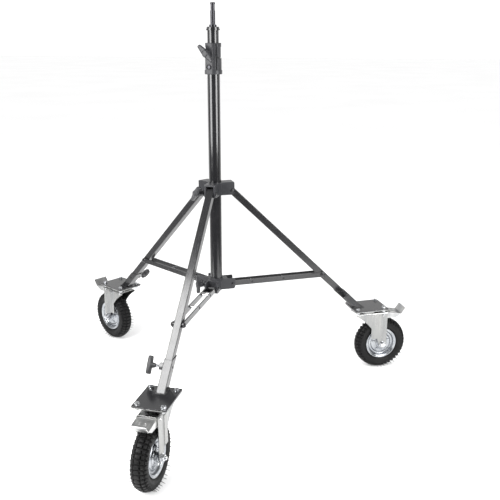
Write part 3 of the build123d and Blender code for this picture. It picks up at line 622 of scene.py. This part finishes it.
def weld_bead(leg):
    """Rippled weld round the sleeve's foot on the mounting plate."""
    frame_of_leg = leg_frame(leg)
    plate = plate_frame(leg).inverted()
    origin, along = plate @ frame_of_leg.translation, plate.to_3x3() @ frame_of_leg.to_3x3() @ Vector((1, 0, 0))
    centre_x = origin.x + along.x * (PLATE_TOP - origin.z) / along.z
    half_x, half_y = SLEEVE_SIZE / 2 / abs(along.z / along.length), SLEEVE_SIZE / 2
    path = []
    corners = [(-half_x, -half_y), (half_x, -half_y), (half_x, half_y), (-half_x, half_y)]
    for (x0, y0), (x1, y1) in zip(corners, corners[1:] + corners[:1]):
        steps = int(math.hypot(x1 - x0, y1 - y0) / 0.9)
        path += [(x0 + (x1 - x0) * i / steps, y0 + (y1 - y0) * i / steps) for i in range(steps)]
    rings = []
    for i, (x, y) in enumerate(path):
        size = 2.7 + 0.45 * math.sin(i * 1.9) + 0.25 * math.sin(i * 0.43)
        out = Vector((x / half_x, y / half_y, 0)).normalized()
        point = Vector((centre_x + x, y, PLATE_TOP))
        rings.append([
            point + size * (math.cos(a) * out + math.sin(a) * Vector((0, 0, 1)))
            for a in (2 * math.pi * k / 10 for k in range(10))
        ])
    bm = bmesh.new()
    skin(bm, rings, loop=True)
    return piece(f"weld_bead_{leg}", bm, plate_frame(leg), BODY_OF[f"caster_bracket_{leg}"], "leg_paint",
                 smooth=70.0)


def pedal_panel(leg):
    """Raised panel with two holes pressed into the pedal, and its rolled lip."""
    bm = bmesh.new()
    (near, near_height), (far, far_height) = PEDAL_SLOPE
    slope = math.atan2(far_height - near_height, far - near)
    place = Matrix.Translation((104.5, 0, 228.3)) @ Matrix.Rotation(-slope, 4, "Y")
    half_x, half_y = 19.0, 20.0
    rings = []
    for inset, height in ((0, -1.0), (0.4, 0.5), (1.6, 1.5), (3.0, 1.7)):
        rings.append(rounded_rectangle(half_x - inset, half_y - inset, 6.0 - inset, height))
    skin(bm, rings, place)
    for y in (-9, 9):
        cup = [(4.8, 1.2), (4.8, 2.1), (4.0, 2.4), (3.4, 2.0), (3.4, 1.2)]
        lathe(bm, cup, place @ Matrix.Translation((2, y, 0)), 28, loop=True)
    lip = facing((148.2, -PEDAL_HALF_WIDTH, 243.6), (0, 1, 0))
    width = 2 * PEDAL_HALF_WIDTH
    lathe(bm, [(1.2, 0.2), (1.9, 0.9), (1.9, width - 0.9), (1.2, width - 0.2)], lip, 20)
    panel = piece(f"pedal_panel_{leg}", bm, caster_frame(leg), BODY_OF[f"brake_pedal_{leg}"], "zinc_sheet",
                  smooth=35.0)
    # The panel takes the lighter pedal zinc, painted light standing in for light from above
    paint(panel.data, "pedal_zinc_painted_light")


def rounded_rectangle(half_x, half_y, radius, height, steps=6):
    """Ring of points with rounded corners."""
    ring = []
    for cx, cy, start in ((1, 1, 0), (-1, 1, 90), (-1, -1, 180), (1, -1, 270)):
        for i in range(steps + 1):
            turn = math.radians(start + 90 * i / steps)
            ring.append((
                cx * (half_x - radius) + radius * math.cos(turn),
                cy * (half_y - radius) + radius * math.sin(turn), height,
            ))
    return ring


def caster_trim(leg):
    """Rivets on the fork's shoulders."""
    bm = bmesh.new()
    for sign in (-1, 1):
        for x, z in ((62, 226.5), (-38, 228.5)):
            seat = facing((x, sign * FORK_HALF_WIDTH, z), (0, sign, 0))
            lathe(bm, [(3.6, -0.5), (3.6, 0.8), (2.9, 2.0), (1.4, 2.5)], seat, 24)
    return piece(f"fork_trim_{leg}", bm, caster_frame(leg), BODY_OF[f"fork_{leg}"], "zinc", smooth=50.0)


for leg in LEGS:
    plate_bolts(leg)
    weld_bead(leg)
    pedal_panel(leg)
    caster_trim(leg)
    eased(f"caster_bracket_{leg}", "leg_paint", 0.8)
    eased(f"caster_plate_{leg}", "zinc_sheet", 0.7)
    eased(f"fork_{leg}", "zinc_sheet", 0.7)
    # The pedal takes the lighter pedal zinc, painted light standing in for light from above
    paint(eased(f"brake_pedal_{leg}", "zinc_sheet", 0.6).data, "pedal_zinc_painted_light")
    eased(f"swivel_race_{leg}", "zinc_sheet", 0.5)


# ---------------------------------------------------------------- handles and knobs

def bar_ring(along, half_width, half_thick, ribs, count=72):
    """Superelliptic section of a wing bar, lying across the bar's length on Z."""
    ring = []
    for i in range(count):
        turn = 2 * math.pi * i / count
        c, s = math.cos(turn), math.sin(turn)
        radius = (abs(c / half_thick) ** 3.2 + abs(s / half_width) ** 3.2) ** (-1 / 3.2)
        radius += ribs * math.cos(24 * turn)
        ring.append((radius * c, radius * s, along))
    return ring


def wing(bm, place, half_length, end, middle, half_thick, ribs=0.0, shape=2.0):
    """Wing bar along local Z: barrel-shaped, with rounded ends; local X is its thickness."""
    rings, stations = [], 28
    for i in range(stations + 1):
        t = math.sin(math.pi * (i / stations - 0.5))
        width = end + (middle - end) * (1 - abs(t) ** shape)
        close = math.sqrt(max(0.0, 1 - max(0.0, (abs(t) * half_length - half_length + 3.5) / 3.5) ** 2))
        shrink = 0.45 + 0.55 * close
        rings.append(bar_ring(t * half_length, width * shrink, half_thick * shrink, ribs * close))
    skin(bm, rings, place)


def lever(node, joint, turn, screw_tip, hub_start, centre, half_length):
    """Locking lever: screw, conical hub and a wing bar across it, centred some way out."""
    blank = bmesh.new()
    wing(blank, Matrix.Translation((centre, 0, 0)), half_length, 4.8, 11.2, 6.6, shape=1.35)
    cone = [(8.2, hub_start), (9.2, hub_start + 1.5), (10.2, centre - 8), (11.6, centre - 3)]
    lathe(blank, cone + [(11.6, centre + 4), (9.4, centre + 8.0), (5, centre + 8.6)], OUTWARD, 48)
    place = lever_frame(joint, turn)
    remeshed(node, placed(blank, place), "cast_grey", 0.75, 5)
    bm = bmesh.new()
    profile = [(3.2, screw_tip)]
    threads = int((hub_start - screw_tip) / 1.5)
    for i in range(threads):
        at = screw_tip + 0.6 + 1.5 * i
        profile += [(4.9, at), (4.3, at + 0.75)]
    lathe(bm, profile + [(4.9, hub_start + 1)], OUTWARD, 32)
    piece(f"{node}_screw", bm, place, BODY_OF[node], "zinc", smooth=30.0)


def sleeve_knob(leg):
    """Ribbed wing knob on a necked hub, with its bare steel screw."""
    place = leg_frame(leg) @ Matrix.Translation((KNOB_ALONG, 0, 0))
    place = place @ Matrix.Rotation(math.radians(KNOB_TURNS[leg]), 4, "Y")
    lying = Matrix.Translation((0, KNOB_CENTRE_Y, 0)) @ Matrix.Rotation(math.radians(90), 4, "Y")
    crosswise = Matrix.Rotation(math.radians(90), 4, "Z")
    bm = bmesh.new()
    wing(bm, lying @ crosswise, KNOB_HALF_LENGTH, 7.6, 12.2, 7.0, ribs=0.22, shape=2.0)
    neck = [(5.2, 38.6), (6.4, 39.4), (6.4, 42.6), (7.8, 43.6), (8.0, 48.0), (10.4, 53.0), (10.4, 58.0)]
    toward_knob = facing((0, 0, 0), (0, -1, 0))
    lathe(bm, neck, toward_knob, 40)
    lathe(bm, [(6.8, 62), (6.6, 65.0), (6.2, 66.4), (3.0, 66.8)], toward_knob, 40)
    node = f"sleeve_knob_{leg}"
    piece(f"{node}_ribbed", bm, place, BODY_OF[node], "knob_plastic", (node,), 40.0)
    screw = bmesh.new()
    profile = [(3.0, 12.8)]
    for i in range(19):
        profile += [(3.9, 13.4 + i * 1.3), (3.4, 14.05 + i * 1.3)]
    lathe(screw, profile + [(3.4, 39.5)], toward_knob, 28)
    piece(f"{node}_screw", screw, place, BODY_OF[node], "zinc", smooth=30.0)


lever("clamp_handle", "clamp_lever_turn", 45, 20.0, 31.5, 51.0, 36)
lever("upper_handle", "upper_lever_turn", -45, 22.0, 48.5, 75.0, 37.5)
lever("lower_handle", "lower_lever_turn", 0, 22.0, 48.5, 67.0, 31.5)
for leg in LEGS:
    sleeve_knob(leg)

cast("clamp_body", "cast_grey", 0.5, 3)
cast("upper_collar", "cast_grey", 0.65, 4)
cast("lower_collar", "cast_grey", 0.65, 4)


# ---------------------------------------------------------------- legs, braces and column

def pivot_bolts(node, joint_prefix, half_grip):
    """Black bolts with low heads in the clevises, one for each leg."""
    bm = bmesh.new()
    for leg in LEGS:
        hinge = JOINTS[f"{joint_prefix}_fold_{leg}"]
        axis = Vector(hinge["axis"])
        radial = Vector((*hinge["pos_m"][:2], 0))
        local = axes(hinge["pos_m"], radial, axis)
        grip = Matrix.Translation((0, half_grip, 0)) @ facing((0, 0, 0), (0, 1, 0))
        far = Matrix.Translation((0, -half_grip, 0)) @ facing((0, 0, 0), (0, -1, 0))
        bolt_head(bm, local @ grip, 11, 3.0, 6.4, 0.5)
        bolt_head(bm, local @ far, 11, 3.0, 6.4, 0.7)
        lathe(bm, [(3.9, -half_grip - 1), (3.9, half_grip + 1)], local @ AXLE_TURN, 24)
    return piece(f"{node}_set", bm, Matrix.Identity(4), BODY_OF[node], "black_zinc", (node,), 30.0)


def brace_fasteners(leg):
    """Flanged bolts at the leg and two spacer rivets between the bars."""
    place, length = brace_frame(leg)
    body = BODY_OF[f"brace_fasteners_{leg}"]
    bm = bmesh.new()
    for sign in (-1, 1):
        seat = facing((length, sign * 17.5, 0), (0, sign, 0))
        flange = [(10, 0), (10, 1.0), (8.4, 2.2), (6.8, 2.6)]
        lathe(bm, flange, seat, 48)
        bolt_head(bm, seat @ Matrix.Translation((0, 0, 0.6)), 13, 4.2, 7.4, 0.5)
        shank = facing((length, sign * 13.0, 0), (0, sign, 0))
        lathe(bm, [(4, 0), (4, 5)], shank, 24)
        for along in RIVET_ALONG:
            seat = facing((along, sign * 17.5, 0), (0, sign, 0))
            lathe(bm, [(4.2, -1), (4.2, 0.5), (3.4, 1.5), (1.6, 2.0)], seat, 28)
    piece(f"brace_fasteners_{leg}_set", bm, place, body, "black_zinc", (f"brace_fasteners_{leg}",), 30.0)
    rivets = bmesh.new()
    for along in RIVET_ALONG:
        barrel = [(3.4, -13), (4.2, -12.4), (4.2, 12.4), (3.4, 13)]
        lathe(rivets, barrel, Matrix.Translation((along, 0, 0)) @ AXLE_TURN, 28)
    piece(f"spacer_rivets_{leg}", rivets, place, body, "zinc", smooth=50.0)


pivot_bolts("leg_pivot_bolts", "leg", LEG_PIVOT_HALF_GRIP)
pivot_bolts("brace_pivot_bolts", "brace", BRACE_PIVOT_HALF_GRIP)
for leg in LEGS:
    brace_fasteners(leg)
    eased(f"brace_bars_{leg}", "leg_paint", 0.7)
    paint(frame["nodes"][f"leg_tube_{leg}"].data, "leg_paint")

# CAD nodes that show as they are, and their materials
SHOWN_NODES = {
    "outer_tube": "column_paint", "riser_tube": "column_paint", "riser_cap": "column_paint",
    "stud": "stud_steel", "tube_foot_plug": "black_plastic", "riser_bush": "black_plastic",
    "clamp_bolt": "stud_steel",
}
for node, look in SHOWN_NODES.items():
    paint(frame["nodes"][node].data, look)


# ---------------------------------------------------------------- studio

def softbox(name, centre, target, width, height, radiance):
    """Rectangular light of a given radiance, facing a target."""
    light = bpy.data.lights.new(name, "AREA")
    light.shape, light.size, light.size_y = "RECTANGLE", width, height
    light.energy = radiance * math.pi * width * height
    made = linked(name, light)
    made.location = centre
    made.rotation_euler = (Vector(target) - Vector(centre)).to_track_quat("-Z", "Y").to_euler()


def floor_sheet(name, x_range, y_range, height, material):
    """Level sheet of floor between two corners, in metres."""
    bm = bmesh.new()
    corners = [(x, y, height) for x, y in zip(x_range * 2, sorted(y_range * 2))]
    corners[2], corners[3] = corners[3], corners[2]
    bm.faces.new([bm.verts.new(corner) for corner in corners])
    bmesh.ops.subdivide_edges(bm, edges=bm.edges, cuts=7, use_grid_fill=True)
    sheet = linked(name, mesh_from(name, bm))
    sheet.data.materials.append(material)
    return sheet


def studio():
    """Camera at the photograph's angle, pale floor, soft lights and a bright backdrop."""
    scene = bpy.context.scene
    scene.view_settings.view_transform = "Standard"
    camera = linked("camera", bpy.data.cameras.new("camera"))
    camera.location = (0.719, -2.321, 1.257)
    camera.rotation_euler = (math.radians(73.27), 0, math.radians(14.38))
    camera.data.lens = 51.55
    scene.camera = camera

    paper = floor_paper("floor_paper")
    floor_sheet("paper", (-1.25, 1.45), (-1.15, 3.5), 0.0, paper)
    floor_sheet("floor", (-40, 40), (-40, 40), -0.002, paper).visible_glossy = False

    # Reflections see a bright wall low down behind the stand and little else
    world = bpy.data.worlds.new("world")
    scene.world = world
    world.use_nodes = True
    tree = world.node_tree
    background = tree.nodes["Background"]
    background.inputs["Color"].default_value = (1, 1, 1, 1)
    direction = tree.nodes.new("ShaderNodeTexCoord").outputs["Generated"]
    behind = tree.nodes.new("ShaderNodeVectorMath")
    behind.operation = "DOT_PRODUCT"
    behind.inputs[1].default_value = (-0.25, 0.97, 0)
    tree.links.new(direction, behind.inputs[0])
    split = tree.nodes.new("ShaderNodeSeparateXYZ")
    tree.links.new(direction, split.inputs["Vector"])
    wall = map_range(tree, behind.outputs["Value"], 0.0, 0.35, 0.0, 0.95)
    low = map_range(tree, split.outputs["Z"], 0.0, 0.75, 1.0, 0.0)
    backdrop = tree.nodes.new("ShaderNodeMath")
    backdrop.operation = "MULTIPLY_ADD"
    backdrop.inputs[2].default_value = 0.26
    tree.links.new(wall, backdrop.inputs[0])
    tree.links.new(low, backdrop.inputs[1])
    path = tree.nodes.new("ShaderNodeLightPath")
    level = tree.nodes.new("ShaderNodeMix")
    level.inputs["A"].default_value = 1.13
    tree.links.new(path.outputs["Is Glossy Ray"], level.inputs["Factor"])
    tree.links.new(backdrop.outputs[0], level.inputs["B"])
    tree.links.new(level.outputs[0], background.inputs["Strength"])

    softbox("overhead", (-0.65, -1.72, 2.4), (-0.65, -1.6, 0), 0.9, 1.5, 12.0)
    softbox("side_left", (-1.23, -1.58, 1.32), (0, 0, 1.15), 1.3, 1.5, 8.0)
    softbox("side_right", (1.84, -0.78, 1.32), (0, 0, 1.15), 1.1, 1.5, 8.0)


studio()
